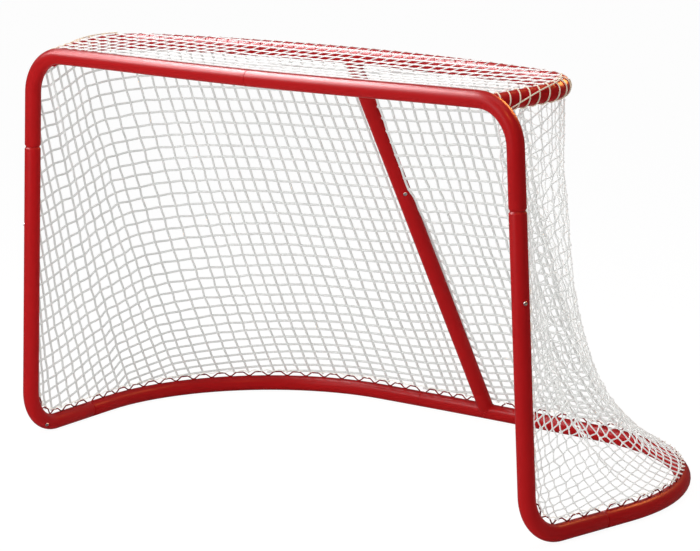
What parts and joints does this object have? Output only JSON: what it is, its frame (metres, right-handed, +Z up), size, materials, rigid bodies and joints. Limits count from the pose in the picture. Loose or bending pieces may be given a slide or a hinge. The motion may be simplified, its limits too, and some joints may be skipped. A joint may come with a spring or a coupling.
{
  "type": "steel hockey goal",
  "caption": "Free-standing steel tube hockey goal with flared base, top shelf, slanting rear brace, lacing rail and knotted net.",
  "frame": {"origin": "on the floor under the middle of the overall box", "axes": "+X along the goal line to the right as seen from the shooter, +Y from the mouth to the back of the net, +Z up"},
  "size_m": [2.1604, 1.1703, 1.2973],
  "materials": {
    "red_paint": "gloss red powder coat on steel tube",
    "rod_paint": "dark maroon paint on bent steel rod",
    "screw_steel": "plain zinc plated steel",
    "net_white": "white knotted synthetic twine",
    "cord_cream": "cream twisted lacing cord"
  },
  "bodies": {
    "root": {"base_brace_stub": "red_paint", "base_left_bend": "red_paint", "base_left_rail": "rod_paint", "base_rear_bar": "red_paint", "base_right_bend": "red_paint", "base_right_rail": "rod_paint", "brace_screw": "screw_steel", "centre_brace": "red_paint", "foot_left_screw": "screw_steel", "foot_right_screw": "screw_steel", "hem_left_cord": "cord_cream", "hem_right_cord": "cord_cream", "lower_left_post": "red_paint", "lower_left_rail": "rod_paint", "lower_right_post": "red_paint", "lower_right_rail": "rod_paint", "net_back": "net_white", "net_left_corner_front": "net_white", "net_left_corner_rear": "net_white", "net_left_side": "net_white", "net_right_corner_front": "net_white", "net_right_corner_rear": "net_white", "net_right_side": "net_white", "net_top": "net_white", "post_left_cord": "cord_cream", "post_left_screw": "screw_steel", "post_right_cord": "cord_cream", "post_right_screw": "screw_steel", "rear_left_rail": "rod_paint", "rear_right_rail": "rod_paint", "shelf_brace_stub": "red_paint", "shelf_left_bend": "red_paint", "shelf_rear_bar": "red_paint", "shelf_right_bend": "red_paint", "upper_left_corner": "red_paint", "upper_right_corner": "red_paint"}
  },
  "joints": []
}
